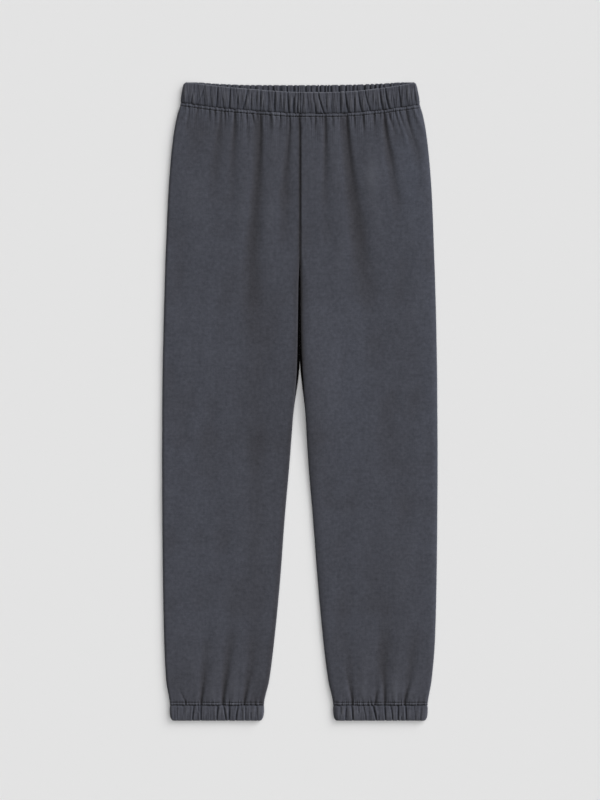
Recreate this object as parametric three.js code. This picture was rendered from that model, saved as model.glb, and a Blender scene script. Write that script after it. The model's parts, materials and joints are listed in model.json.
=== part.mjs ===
import * as THREE from "three";

// Pull-on pyjama bottoms in a plain brushed knit, laid flat with the front up.
// Millimetres. +X is the wearer's left, +Y runs to the waist, +Z up from the surface they lie on,
// and the origin is under the middle of the garment. "Up" means distance from the hem.

const LENGTH = 990; // hem to the top of the waistband
const CLOTH = 2.5; // leg cloth with its brushed inside
const WAIST_CASING = 4; // two layers of cloth over the waist elastic
const CUFF_CASING = 3.8; // the same at the ankle
const SEAM_GAP = 0.3; // between two pieces at a seam
const CUFF_SEAM = 23.6; // up to the seam of cuff and leg
const SEAM_SINK = 0.7; // how far the stitches pull a seam in
const EDGE_SINK = 1.1; // rounding of a casing's folded edge
const CREASE = 3; // half width of a gather's crease
const SHOULDER = 2.4; // from a crease to the column on its shoulder
const CREST = 0.25; // a gather's crest, as a share of its depth
const CREST_SPREAD = 9; // half width of the swell that carries a gather's crests
const CLOSEST = 1; // columns stand no nearer than this
const MIDDLE = 120; // a place about the middle of a leg, from the centre line
const PLAIN_COLUMNS = 11; // columns of a plain face
const PANEL_COLUMNS = 20; // columns of a leg below its gathers
const ROLL_STEPS = 3;
const ROLL_SHARE = 0.03; // share of a piece's width that each rolled edge takes
const FRONT_SEAM_TURN = 48; // most degrees the cloth turns into the centre seams
const BACK_SEAM_TURN = 12;
const CROTCH_SWELL = 5; // how much thicker the garment is where its four inner seams meet
const LEFT_SWELL = 5; // and how much more on the wearer's left
const CROTCH_LIFT = 0.25; // how far up its thickness the inside-leg seams are lifted there
const CROTCH_UP = 528; // where the swell is thickest
const CROTCH_ACROSS = 55; // reach of the swell across and along the garment
const CROTCH_ALONG = 115;
const CLOTH_COLOUR = 0x46474f;

// Rows of numbers become objects with the named columns.
function table(names, rows) {
  const keys = names.split(" ");
  return rows.map((row) => Object.fromEntries(keys.map((key, i) => [key, row[i]])));
}

// Sections of the garment. side and inner are distances from the centre line, on the wearer's
// right and left, and the turns are how many degrees each front and the backs have turned at the
// inner edge, 90 where front and back meet.
const sections = table(
  "up loft sideRight sideLeft innerRight innerLeft turnRight turnLeft turnBack",
  [
    [990, 8.8, 177.8, 178.4, 0.15, 0.15, 12, 48, 12],
    [986, 8.8, 179.9, 180.4, 0.15, 0.15, 12, 48, 12],
    [975, 8.8, 182.4, 182.6, 0.15, 0.15, 12, 48, 12],
    [965, 8.8, 184.0, 184.6, 0.15, 0.15, 12, 48, 12],
    [956, 8.8, 185.0, 185.7, 0.15, 0.15, 12, 48, 12],
    [940, 8.8, 189.8, 190.4, 0.15, 0.15, 12, 48, 12],
    [916, 8.6, 194.6, 195.2, 0.15, 0.15, 12, 48, 12],
    [870, 8.2, 200.2, 200.6, 0.15, 0.15, 12, 48, 12],
    [808, 7.8, 204.5, 205.1, 0.15, 0.15, 12, 48, 12],
    [722, 7.6, 208.2, 208.4, 0.15, 0.15, 16, 52, 12],
    [700, 7.6, 209.0, 209.2, 1.2, 0.6, 60, 75, 12],
    [672, 7.6, 209.8, 210.1, 2.5, 1.1, 90, 90, 12],
    [614, 7.6, 211.4, 211.6, 3.2, 1.6, 90, 90, 12],
    [572, 7.5, 212.3, 212.4, 3.9, 2.7, 90, 90, 12],
    [545, 7.5, 212.9, 212.8, 4.8, 4.2, 90, 90, 24],
    [525, 7.4, 213.2, 213.0, 6.0, 5.6, 90, 90, 48],
    [497, 7.4, 213.5, 213.2, 8.5, 7.3, 90, 90, 78],
    [470, 7.4, 213.6, 213.4, 10.6, 8.9, 90, 90, 90],
    [404, 7.4, 213.7, 213.7, 15.6, 12.8, 90, 90, 90],
    [311, 7.4, 213.4, 213.2, 23.7, 20.5, 90, 90, 90],
    [218, 7.6, 212.4, 212.1, 30.7, 27.6, 90, 90, 90],
    [125, 7.8, 210.6, 209.6, 39.6, 36.2, 90, 90, 90],
    [63, 8.1, 207.5, 204.4, 47.5, 43.9, 90, 90, 90],
    [26, 8.4, 201.7, 198.2, 55.6, 51.6, 90, 90, 90],
    [14, 8.4, 201.1, 197.4, 56.1, 52.3, 90, 90, 90],
    [5, 8.4, 200.2, 196.6, 57.5, 53.3, 90, 90, 90],
    [0, 8.4, 198.2, 195.0, 59.4, 55.2, 90, 90, 90],
  ],
);

// Widths of the soft round edges, fold along the side seams and roll at the centre seam and the
// inside legs. tuck is how far the back reaches on to the centre line, 1 all the way: the back's
// rise is the longer one, so its edges draw together between the legs below the front's crotch.
const edges = table("up foldRight foldLeft rollRight rollLeft tuck", [
  [990, 4, 5, 3, 4, 1],
  [956, 4, 7, 3, 4, 1],
  [940, 4, 10, 3, 4, 1],
  [870, 4.5, 14, 3, 4, 1],
  [730, 5, 14, 3, 5, 1],
  [700, 5, 14, 3, 9, 1],
  [660, 5, 13, 3, 15, 1],
  [560, 5, 10, 3, 18, 1],
  [525, 5, 10, 3, 18, 0.5],
  [497, 5, 10, 3, 16, 0.14],
  [470, 5, 10, 3, 16, 0],
  [125, 5, 9, 4, 11, 0],
  [26, 4, 6, 5, 7, 0],
  [0, 4, 5, 5, 7, 0],
]);

// The waistband's lower seam and top edge, front and back, across the garment.
const waistLines = table("x frontSeam frontTop backSeam backTop", [
  [-190, 958.3, 989.8, 958.3, 989.8],
  [-165, 955.6, 987.9, 955.6, 990.0],
  [-130, 950.8, 983.9, 952.5, 987.8],
  [-77, 946.1, 979.1, 949.9, 985.9],
  [0, 941.3, 974.4, 948.9, 985.6],
  [40, 941.1, 974.2, 948.9, 985.8],
  [78, 942.3, 975.6, 949.7, 986.3],
  [125, 946.6, 980.4, 952.0, 987.9],
  [165, 951.9, 986.2, 954.2, 990.0],
  [190, 955.0, 989.8, 955.0, 989.8],
]);

// Gathers of the waistband's front, by where each crease meets the seam.
const waistGathers = table("x depth", [
  [-169, 0.9], [-159, 0.9], [-139, 0.6], [-129.5, 1.3], [-119, 0.6], [-110, 1.5], [-98, 1.2],
  [-88.5, 1.2], [-75, 0.9], [-62, 1.2], [-50.5, 1.0], [-39, 1.3], [-25.6, 0.9], [-17.4, 1.2],
  [-10, 1.4], [10.5, 0.6], [25, 0.9], [37, 1.3], [50, 0.6], [63, 1.2], [75, 1.2], [84.5, 0.9],
  [95.5, 1.2], [108.6, 1.0], [117, 0.7], [128, 1.5], [138, 1.5], [147, 0.7], [157, 1.0], [180, 0.9],
]);

// Gathers of the front legs under the waistband. reach is how far down each one fades out.
const hipGathers = table("x depth reach", [
  [-171, 0.8, 40], [-158.5, 0.7, 40], [-141, 0.6, 30], [-132, 0.7, 36], [-122.6, 0.8, 70],
  [-114.5, 0.8, 34], [-101, 1.1, 80], [-91.6, 0.7, 22], [-82, 1.0, 55], [-74.5, 0.7, 26],
  [-61, 1.3, 90], [-45.8, 0.7, 30], [-37.6, 0.7, 24], [-30.3, 0.7, 30], [-15.5, 1.1, 80],
  [15.5, 0.7, 26], [24, 0.7, 30], [31, 0.6, 22], [39, 1.1, 80], [50.4, 0.7, 26], [60, 0.8, 34],
  [72.6, 1.3, 90], [83.8, 0.7, 26], [97.8, 0.8, 36], [114.8, 0.7, 28], [123, 0.7, 24],
  [130.3, 1.3, 90], [138, 0.8, 32], [147.4, 0.7, 26], [155, 0.8, 32], [165, 0.9, 70],
]);

// The long soft folds that hang from the waist: where each starts at the seam and where it ends.
const hangingFolds = table("x end reach depth width", [
  [-122.6, -134, 110, 0.7, 9],
  [-101, -106.5, 130, 0.8, 9],
  [-61, -77, 330, 1.3, 13],
  [-15.5, -22.5, 190, 0.8, 9],
  [39, 38, 200, 0.8, 9],
  [72.6, 100, 330, 1.2, 13],
  [130.3, 151.5, 200, 1.1, 11],
  [165, 184, 115, 0.7, 8],
]);

// Gathers of the cuff casings, and of the front legs above them.
const cuffGathers = table("x depth", [
  [-165, 1.2], [-153.5, 1.3], [-139.5, 0.6], [-127.5, 1.2], [-117.5, 1.0], [-110, 1.2],
  [-97, 1.2], [-84.6, 0.7], [71.6, 0.9], [81, 1.2], [97, 0.6], [115, 1.4], [131.5, 1.2],
  [142, 0.9], [152.5, 1.2], [164, 1.2], [180, 0.6],
]);
const ankleGathers = table("x depth reach", [
  [-177, 0.8, 34], [-158.5, 0.6, 20], [-153.5, 1.2, 60], [-137.5, 0.6, 20], [-119, 1.4, 90],
  [-110, 0.6, 18], [-91, 0.7, 20], [-86, 1.2, 75], [-70, 0.6, 20], [66, 0.6, 20], [80.5, 1.2, 40],
  [97.8, 0.6, 20], [108, 0.6, 18], [116.5, 1.2, 45], [131.5, 1.0, 60], [145, 0.6, 20],
  [156.5, 0.7, 18], [162.5, 1.2, 60], [178, 0.6, 24],
]);

const HEM = -LENGTH / 2;
const degrees = THREE.MathUtils.degToRad;
const lerp = THREE.MathUtils.lerp;

// A column of a table read anywhere along another column, on a curve that never overshoots.
function readTable(rows, key, along, at) {
  const spread = [...rows].sort((a, b) => a[along] - b[along]);
  const last = spread.length - 1;
  const place = THREE.MathUtils.clamp(at, spread[0][along], spread[last][along]);
  let i = spread.findIndex((row) => row[along] >= place) - 1;
  i = THREE.MathUtils.clamp(i, 0, last - 1);
  const slope = (k) => {
    const from = spread[k];
    const to = spread[k + 1];
    return from && to ? (to[key] - from[key]) / (to[along] - from[along]) : 0;
  };
  const tangent = (k) => {
    const before = slope(k - 1);
    const after = slope(k);
    return before * after <= 0 ? 0 : (2 * before * after) / (before + after);
  };
  const step = spread[i + 1][along] - spread[i][along];
  const t = (place - spread[i][along]) / step;
  const rise = spread[i][key] * (1 + 2 * t) * (1 - t) ** 2 + spread[i + 1][key] * t * t * (3 - 2 * t);
  return rise + step * (tangent(i) * t * (1 - t) ** 2 - tangent(i + 1) * t * t * (1 - t));
}

const section = (key, up) => readTable(sections, key, "up", up);
const edge = (key, up) => readTable(edges, key, "up", up);
const waistLine = (key, x) => readTable(waistLines, key, "x", x);

// 1 at the middle of a crease, falling smoothly to 0 at its half width.
const bell = (offset, halfWidth) => Math.max(0, 1 - (offset / halfWidth) ** 2) ** 2;

// 1 at the seam, falling smoothly to 0 where a fold has run out.
const fade = (distance, reach) => THREE.MathUtils.smoothstep(1 - distance / reach, 0, 1);

// How far the long folds lower the front at a point.
function foldSink(x, up) {
  let sink = 0;
  for (const fold of hangingFolds) {
    const distance = waistLine("frontSeam", fold.x) - up;
    const t = THREE.MathUtils.clamp(distance / fold.reach, 0, 1);
    const middle = lerp(fold.x, fold.end, t);
    const spread = fold.width * (0.7 + 0.8 * t);
    sink += fold.depth * bell(x - middle, spread) * fade(Math.max(0, distance), fold.reach);
  }
  return sink;
}

// How far the gathers lower the cloth at a place along their seam, a distance away from it.
function gatherSink(gathers, place, distance, crest) {
  let sink = 0;
  for (const gather of gathers) {
    const left = gather.reach ? fade(distance, gather.reach) : 1;
    const offset = place - gather.x;
    sink += gather.depth * left * (bell(offset, CREASE) - crest * bell(offset, CREST_SPREAD));
  }
  return sink;
}

// Places along a gathered seam that need a column: the crease, its shoulders and its crests.
function gatherPlaces(gathers, side) {
  const own = gathers.filter((gather) => Math.sign(gather.x) === side);
  const xs = own.map((gather) => gather.x * side).sort((a, b) => b - a);
  const places = [];
  xs.forEach((x, i) => {
    const next = xs[i + 1] ?? 0;
    places.push(x + SHOULDER, x, x - SHOULDER);
    if (x - next > 3 * CREASE) places.push((x + next) / 2);
  });
  return places.sort((a, b) => b - a).filter((x, i, all) => i === 0 || all[i - 1] - x > CLOSEST);
}

// Columns across a piece, from its side seam to its inner edge. Each has its zone, its share of
// the way across that zone, and its place along the gathered seam.
function makeColumns(shares) {
  const columns = [];
  for (let i = 0; i < ROLL_STEPS; i++) columns.push({ zone: "side", share: i / ROLL_STEPS });
  for (const share of shares) columns.push({ zone: "panel", share });
  for (let i = 1; i <= ROLL_STEPS; i++) columns.push({ zone: "inner", share: i / ROLL_STEPS });
  return columns;
}

// How far across the whole piece a column stands, from 0 at its side seam to 1 at its inner edge.
function shareAcross({ zone, share }) {
  if (zone === "side") return ROLL_SHARE * share;
  if (zone === "inner") return 1 - ROLL_SHARE * (1 - share);
  return lerp(ROLL_SHARE, 1 - ROLL_SHARE, share);
}

const evenShares = (count) => Array.from({ length: count }, (_, i) => i / (count - 1));

// Shares across the flat of a panel of the given places along its seam, with both ends.
function sharesAt(places, piece, up) {
  const { start, end } = flatOf(piece, up);
  const inside = places.map((x) => (start - x) / (start - end)).filter((s) => s > 0.01 && s < 0.99);
  return [0, ...inside, 1];
}

const sideName = (piece) => (piece.side < 0 ? "Right" : "Left");
const turnName = (piece) => (piece.face === "front" ? "turn" + sideName(piece) : "turnBack");

// The garment's thickness at a point, with its swell over the crotch, and the share of it that
// lies below the seams of front and back.
function loftAt(x, up) {
  const reach = (x / CROTCH_ACROSS) ** 2 + ((up - CROTCH_UP) / CROTCH_ALONG) ** 2;
  const middle = Math.exp(-reach);
  const swell = CROTCH_SWELL + (x > 0 ? LEFT_SWELL : 0);
  return { loft: section("loft", up) + swell * middle, split: 0.5 + CROTCH_LIFT * middle };
}

// The flat of a section of a piece: distances from the centre line where its round edges begin,
// with the widths of those edges.
function flatOf(piece, up) {
  const name = sideName(piece);
  const fold = edge("fold" + name, up);
  const roll = edge("roll" + name, up);
  const innermost = section("inner" + name, up);
  const tuck = piece.face === "back" ? edge("tuck", up) : 0;
  const inner = lerp(innermost, SEAM_GAP / 2, tuck);
  const turn = degrees(section(turnName(piece), up));
  return { fold, roll, start: section("side" + name, up) - fold, end: inner + roll * Math.sin(turn) };
}

// The points of a piece's smooth outer and inner faces at a column. The inside of a centre seam
// stays level, so its wall is a little thinner there.
function facePoints(piece, column, up) {
  const { fold, roll, start, end } = flatOf(piece, up);
  const turnEnd = section(turnName(piece), up);
  const front = piece.face === "front";
  let turn = 0;
  let lean = 0;
  let across = lerp(start, end, column.share);
  if (column.zone === "side") {
    turn = degrees(90 * (1 - column.share));
    lean = turn;
    across = start + fold * Math.sin(turn);
  } else if (column.zone === "inner") {
    turn = degrees(turnEnd * column.share);
    const levelTurn = front ? FRONT_SEAM_TURN : BACK_SEAM_TURN;
    lean = degrees(90 * column.share * THREE.MathUtils.smoothstep(turnEnd, levelTurn, 90));
    across = end - roll * Math.sin(turn);
  }
  const { loft, split } = loftAt(piece.side * across, up);
  const most = loft * (front ? 1 - split : split) - SEAM_GAP / 2;
  const drop = most * (1 - Math.cos(turn));
  const insideDrop = column.zone === "inner" ? drop * Math.sin(lean) : drop;
  const insideHeight = loft - insideDrop - piece.wall * Math.cos(lean);
  const towardsInside = (column.zone === "inner" ? 1 : -1) * piece.wall * Math.sin(lean);
  const height = (z) => (front ? z : loft - z);
  return {
    outer: new THREE.Vector3(piece.side * across, HEM + up, height(loft - drop)),
    inner: new THREE.Vector3(piece.side * (across + towardsInside), HEM + up, height(insideHeight)),
    flatness: Math.cos(turn),
  };
}

// One row of a piece's wall, as an outer and an inner line of points with their share across.
function wallRow(piece, row) {
  const front = piece.face === "front";
  const upwards = front ? 1 : -1;
  const roughUp = row.upAt(piece.side * MIDDLE);
  const line = (columns, inside) =>
    columns.map((column) => {
      const up = row.upAt(facePoints(piece, column, roughUp).outer.x);
      const { outer, inner, flatness } = facePoints(piece, column, up);
      const point = inside ? inner : outer;
      if (front && piece.hangs) point.z -= foldSink(outer.x, up) * flatness;
      if (inside === piece.gathersInside && row.gathers && column.zone === "panel") {
        const place = piece.side * lerp(row.seamFlat.start, row.seamFlat.end, column.share);
        point.z -= gatherSink(row.gathers, place, row.distance, inside ? 0 : CREST);
      }
      if (!inside && front) point.z -= row.sink * flatness;
      if (inside && row.folded) point.z += upwards * row.sink * flatness;
      return { point, across: shareAcross(column) };
    });
  return {
    outer: line(piece.gathersInside ? row.plain : row.columns, false),
    inner: line(piece.gathersInside ? row.columns : row.plain, true),
  };
}

// Triangles between two lines of vertex numbers, stepping along whichever line is behind.
function zip(triangles, a, b) {
  let i = 0;
  let j = 0;
  while (i < a.length - 1 || j < b.length - 1) {
    const nextA = i < a.length - 1 ? a[i + 1].across : Infinity;
    const nextB = j < b.length - 1 ? b[j + 1].across : Infinity;
    if (nextA <= nextB) {
      triangles.push(a[i].id, b[j].id, a[i + 1].id);
      i++;
    } else {
      triangles.push(a[i].id, b[j].id, b[j + 1].id);
      j++;
    }
  }
}

// Six times the volume that the triangles enclose, negative where they face inwards.
function signedVolume(positions, triangles) {
  const corner = (id) => new THREE.Vector3().fromArray(positions, 3 * id);
  let sum = 0;
  for (let i = 0; i < triangles.length; i += 3) {
    const [a, b, c] = [0, 1, 2].map((k) => corner(triangles[i + k]));
    sum += a.dot(b.cross(c));
  }
  return sum;
}

// A closed wall from its rows: outer face, inner face, and the four edges between them.
function makeWall(name, piece, rows) {
  const positions = [];
  const number = (line) =>
    line.map(({ point, across }) => {
      positions.push(point.x, point.y, point.z);
      return { id: positions.length / 3 - 1, across };
    });
  const lines = rows.map((row) => wallRow(piece, row));
  const outer = lines.map((line) => number(line.outer));
  const inner = lines.map((line) => number(line.inner));
  const triangles = [];
  for (let r = 0; r + 1 < rows.length; r++) {
    zip(triangles, outer[r], outer[r + 1]);
    zip(triangles, inner[r + 1], inner[r]);
    const sideEdge = [outer[r][0].id, outer[r + 1][0].id, inner[r + 1][0].id, inner[r][0].id];
    const innerEdge = [outer[r], outer[r + 1], inner[r + 1], inner[r]].map((line) => line.at(-1).id);
    triangles.push(sideEdge[0], sideEdge[2], sideEdge[1], sideEdge[0], sideEdge[3], sideEdge[2]);
    triangles.push(innerEdge[0], innerEdge[1], innerEdge[2], innerEdge[0], innerEdge[2], innerEdge[3]);
  }
  zip(triangles, inner[0], outer[0]);
  zip(triangles, outer.at(-1), inner.at(-1));
  // Reading the numbers backwards turns every triangle to face outwards.
  if (signedVolume(positions, triangles) < 0) triangles.reverse();
  const geometry = new THREE.BufferGeometry();
  geometry.setAttribute("position", new THREE.Float32BufferAttribute(positions, 3));
  geometry.setIndex(triangles);
  geometry.computeVertexNormals();
  const material = new THREE.MeshStandardMaterial({
    color: CLOTH_COLOUR,
    roughness: 0.95,
    metalness: 0,
  });
  const mesh = new THREE.Mesh(geometry, material);
  mesh.name = name;
  return mesh;
}

// The waistband: from its seam to its folded top edge, gathered by the elastic.
function makeWaistband(face, side) {
  const piece = { face, side, wall: WAIST_CASING, gathersInside: face === "back" };
  const middle = waistLine(face + "Seam", side * MIDDLE);
  const shares = sharesAt(gatherPlaces(waistGathers, side), piece, middle);
  const rowShares = [0, 0.08, 0.36, 0.68, 0.95, 1];
  const rows = rowShares.map((share) => ({
    upAt: (x) => {
      const seam = waistLine(face + "Seam", x) + SEAM_GAP / 2;
      return lerp(seam, waistLine(face + "Top", x), share);
    },
    columns: makeColumns(shares),
    plain: makeColumns(evenShares(PLAIN_COLUMNS)),
    gathers: waistGathers,
    seamFlat: flatOf(piece, middle),
    distance: 0,
    sink: share === 0 ? SEAM_SINK : share === 1 ? EDGE_SINK : 0,
    folded: share === 1,
  }));
  return makeWall(`waistband_${face}_${side < 0 ? "right" : "left"}`, piece, rows);
}

// A leg panel, from the waistband's seam to the cuff's.
function makeLeg(face, side) {
  const front = face === "front";
  const piece = { face, side, wall: CLOTH, gathersInside: false, hangs: true };
  const seamKey = face + "Seam";
  const plain = makeColumns(evenShares(PLAIN_COLUMNS));
  const panel = makeColumns(evenShares(front ? PANEL_COLUMNS : PLAIN_COLUMNS));
  const gathered = (gathers, up) =>
    front ? makeColumns(sharesAt(gatherPlaces(gathers, side), piece, up)) : panel;
  const waistUp = waistLine(seamKey, side * MIDDLE);
  const hipColumns = gathered(hipGathers, waistUp);
  const ankleColumns = gathered(ankleGathers, CUFF_SEAM);
  const hipDrops = front ? [0, 3, 12, 26, 46, 72] : [0, 30, 72];
  const ankleRises = front ? [84, 54, 30, 13, 4, 0] : [84, 30, 0];
  const straightUps = front
    ? [840, 780, 740, 722, 711, 700, 686, 672, 640, 600, 560, 525, 490, 450, 410, 360, 300, 230, 160]
    : [800, 700, 640, 600, 572, 560, 552, 545, 535, 525, 508, 490, 450, 410, 360, 280, 160];
  const rows = [];
  for (const drop of hipDrops)
    rows.push({
      upAt: (x) => waistLine(seamKey, x) - SEAM_GAP / 2 - drop,
      columns: hipColumns,
      plain,
      gathers: front ? hipGathers : null,
      seamFlat: flatOf(piece, waistUp),
      distance: drop,
      sink: drop === 0 ? SEAM_SINK : 0,
    });
  for (const up of straightUps) rows.push({ upAt: () => up, columns: panel, plain, sink: 0 });
  for (const rise of ankleRises)
    rows.push({
      upAt: () => CUFF_SEAM + SEAM_GAP / 2 + rise,
      columns: ankleColumns,
      plain,
      gathers: front ? ankleGathers : null,
      seamFlat: flatOf(piece, CUFF_SEAM),
      distance: rise,
      sink: rise === 0 ? SEAM_SINK : 0,
    });
  return makeWall(`${face}_${side < 0 ? "right" : "left"}`, piece, rows);
}

// A cuff casing, from its seam to the folded hem.
function makeCuff(face, side) {
  const front = face === "front";
  const piece = { face, side, wall: CUFF_CASING, gathersInside: false };
  const plain = makeColumns(evenShares(PLAIN_COLUMNS));
  const shares = sharesAt(gatherPlaces(cuffGathers, side), piece, CUFF_SEAM);
  const columns = front ? makeColumns(shares) : plain;
  const top = CUFF_SEAM - SEAM_GAP / 2;
  const rows = [top, top - 2, 14, 5, 1.5, 0].map((up, i, ups) => ({
    upAt: () => up,
    columns,
    plain,
    gathers: front ? cuffGathers : null,
    seamFlat: flatOf(piece, CUFF_SEAM),
    distance: 0,
    sink: i === 0 ? SEAM_SINK : i === ups.length - 1 ? EDGE_SINK : 0,
    folded: i === ups.length - 1,
  }));
  return makeWall(`cuff_${face}_${side < 0 ? "right" : "left"}`, piece, rows);
}

const pyjamaBottoms = new THREE.Group();
for (const face of ["front", "back"])
  for (const side of [-1, 1])
    pyjamaBottoms.add(makeWaistband(face, side), makeLeg(face, side), makeCuff(face, side));

export default pyjamaBottoms;
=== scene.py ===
import json
import math

import bpy
import numpy as np
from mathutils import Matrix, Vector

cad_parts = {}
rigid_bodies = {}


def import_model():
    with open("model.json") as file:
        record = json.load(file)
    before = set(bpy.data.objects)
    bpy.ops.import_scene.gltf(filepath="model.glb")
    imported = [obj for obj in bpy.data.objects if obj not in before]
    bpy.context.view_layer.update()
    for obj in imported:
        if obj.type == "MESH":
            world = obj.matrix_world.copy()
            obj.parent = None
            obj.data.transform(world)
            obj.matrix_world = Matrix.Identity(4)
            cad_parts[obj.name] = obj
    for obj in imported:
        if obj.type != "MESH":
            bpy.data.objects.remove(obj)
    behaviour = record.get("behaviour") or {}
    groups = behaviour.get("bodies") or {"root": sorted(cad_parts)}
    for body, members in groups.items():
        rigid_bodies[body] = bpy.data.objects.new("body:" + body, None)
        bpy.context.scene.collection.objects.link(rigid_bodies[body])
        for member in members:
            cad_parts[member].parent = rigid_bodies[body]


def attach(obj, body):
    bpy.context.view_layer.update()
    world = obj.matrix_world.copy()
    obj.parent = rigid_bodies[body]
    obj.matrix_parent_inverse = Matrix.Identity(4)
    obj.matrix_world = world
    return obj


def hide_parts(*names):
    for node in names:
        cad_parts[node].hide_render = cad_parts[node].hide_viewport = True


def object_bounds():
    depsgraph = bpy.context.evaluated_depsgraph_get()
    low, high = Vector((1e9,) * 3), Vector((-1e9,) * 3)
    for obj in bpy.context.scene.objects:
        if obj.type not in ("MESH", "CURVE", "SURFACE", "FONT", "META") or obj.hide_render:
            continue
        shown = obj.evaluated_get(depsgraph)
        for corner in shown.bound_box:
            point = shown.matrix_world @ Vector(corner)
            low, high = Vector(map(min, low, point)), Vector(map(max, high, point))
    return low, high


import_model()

# Pyjama bottoms laid flat, front up. Shapes are worked out in millimetres and made in metres.
# +X is the wearer's left, +Y the waist, and "up" is the distance from the hem.
mm = 0.001
cadLow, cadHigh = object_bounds()
hemY = cadLow.y / mm


def columns(names, rows):  # rows of numbers as one array for each named column
    return dict(zip(names.split(), np.array(rows, float).T))


# Sections of the garment. side and inner are distances from the centre line on the wearer's right
# and left, and the turns are how many degrees each front and the backs have turned at the inner
# edge, 90 where front and back meet.
sections = columns("up loft sideRight sideLeft innerRight innerLeft turnRight turnLeft turnBack", [
    [0, 8.4, 198.2, 195.0, 59.4, 55.2, 90, 90, 90],
    [5, 8.4, 200.2, 196.6, 57.5, 53.3, 90, 90, 90],
    [14, 8.4, 201.1, 197.4, 56.1, 52.3, 90, 90, 90],
    [26, 8.4, 201.7, 198.2, 55.6, 51.6, 90, 90, 90],
    [63, 8.1, 207.5, 204.4, 47.5, 43.9, 90, 90, 90],
    [125, 7.8, 210.6, 209.6, 39.6, 36.2, 90, 90, 90],
    [218, 7.6, 212.4, 212.1, 30.7, 27.6, 90, 90, 90],
    [311, 7.4, 213.4, 213.2, 23.7, 20.5, 90, 90, 90],
    [404, 7.4, 213.7, 213.7, 15.6, 12.8, 90, 90, 90],
    [470, 7.4, 213.6, 213.4, 10.6, 8.9, 90, 90, 90],
    [497, 7.4, 213.5, 213.2, 8.5, 7.3, 90, 90, 78],
    [525, 7.4, 213.2, 213.0, 6.0, 5.6, 90, 90, 48],
    [545, 7.5, 212.9, 212.8, 4.8, 4.2, 90, 90, 24],
    [572, 7.5, 212.3, 212.4, 3.9, 2.7, 90, 90, 12],
    [614, 7.6, 211.4, 211.6, 3.2, 1.6, 90, 90, 12],
    [672, 7.6, 209.8, 210.1, 2.5, 1.1, 90, 90, 12],
    [700, 7.6, 209.0, 209.2, 1.2, 0.6, 60, 75, 12],
    [722, 7.6, 208.2, 208.4, 0.15, 0.15, 16, 52, 12],
    [808, 7.8, 204.5, 205.1, 0.15, 0.15, 12, 48, 12],
    [870, 8.2, 200.2, 200.6, 0.15, 0.15, 12, 48, 12],
    [916, 8.6, 194.6, 195.2, 0.15, 0.15, 12, 48, 12],
    [940, 8.8, 189.8, 190.4, 0.15, 0.15, 12, 48, 12],
    [956, 8.8, 185.0, 185.7, 0.15, 0.15, 12, 48, 12],
    [965, 8.8, 184.0, 184.6, 0.15, 0.15, 12, 48, 12],
    [975, 8.8, 182.4, 182.6, 0.15, 0.15, 12, 48, 12],
    [986, 8.8, 179.9, 180.4, 0.15, 0.15, 12, 48, 12],
    [990, 8.8, 177.8, 178.4, 0.15, 0.15, 12, 48, 12],
])

# Widths of the soft round edges, fold at the side seams and roll at the centre and inside legs.
# tuck is how far the back reaches on to the centre line between the legs, 1 all the way.
edges = columns("up foldRight foldLeft rollRight rollLeft tuck", [
    [0, 4, 5, 5, 7, 0],
    [26, 4, 6, 5, 7, 0],
    [125, 5, 9, 4, 11, 0],
    [470, 5, 10, 3, 16, 0],
    [497, 5, 10, 3, 16, 0.14],
    [525, 5, 10, 3, 18, 0.5],
    [560, 5, 10, 3, 18, 1],
    [660, 5, 13, 3, 15, 1],
    [700, 5, 14, 3, 9, 1],
    [730, 5, 14, 3, 5, 1],
    [870, 4.5, 14, 3, 4, 1],
    [940, 4, 10, 3, 4, 1],
    [956, 4, 7, 3, 4, 1],
    [990, 4, 5, 3, 4, 1],
])

# The waistband's seam and top edge across the garment, front and back.
waistLines = columns("x frontSeam frontTop backSeam backTop", [
    [-190, 958.3, 989.8, 958.3, 989.8],
    [-165, 955.6, 987.9, 955.6, 990.0],
    [-130, 950.8, 983.9, 952.5, 987.8],
    [-77, 946.1, 979.1, 949.9, 985.9],
    [0, 941.3, 974.4, 948.9, 985.6],
    [40, 941.1, 974.2, 948.9, 985.8],
    [78, 942.3, 975.6, 949.7, 986.3],
    [125, 946.6, 980.4, 952.0, 987.9],
    [165, 951.9, 986.2, 954.2, 990.0],
    [190, 955.0, 989.8, 955.0, 989.8],
])

garment = dict(
    seamGap=0.3,
    centreGap=0.02,  # the two backs all but touch at the centre, so no floor shows through
    cuffSeam=23.6,  # up to the seam of cuff and leg
    frontSeamTurn=48.0,  # up to so many degrees, the inside of the cloth stays level at a seam
    backSeamTurn=12.0,
    crotchSwell=5.0,  # how much thicker the garment is where its four inner seams meet
    leftSwell=5.0,  # and how much more on the wearer's left
    crotchLift=0.25,  # how far up its thickness the inside-leg seams are lifted there
    crotchUp=528.0,  # where the swell is thickest, and its reach across and along the garment
    crotchAcross=55.0,
    crotchAlong=115.0,
    sideShare=0.045,  # shares of a piece's columns in its side roll and inner roll
    innerShare=0.07,
    reliefFade=0.7,  # relief is times this power of how level the cloth is, so it dies at the edges
)


def smooth(t):  # 0 to 1 along an S curve that is level at both ends
    t = np.clip(t, 0, 1)
    return t * t * (3 - 2 * t)


def bell(offset, width):  # 1 in the middle, falling as a bell curve
    return np.exp(-((offset / width) ** 2))


def crease(offset, width):  # a sharper valley than a bell, 1 deep, with swollen shoulders
    reach = np.abs(offset) / width
    return np.exp(-(reach ** 1.5)) - 0.3 * np.exp(-((reach / 2.6) ** 2))


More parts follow.
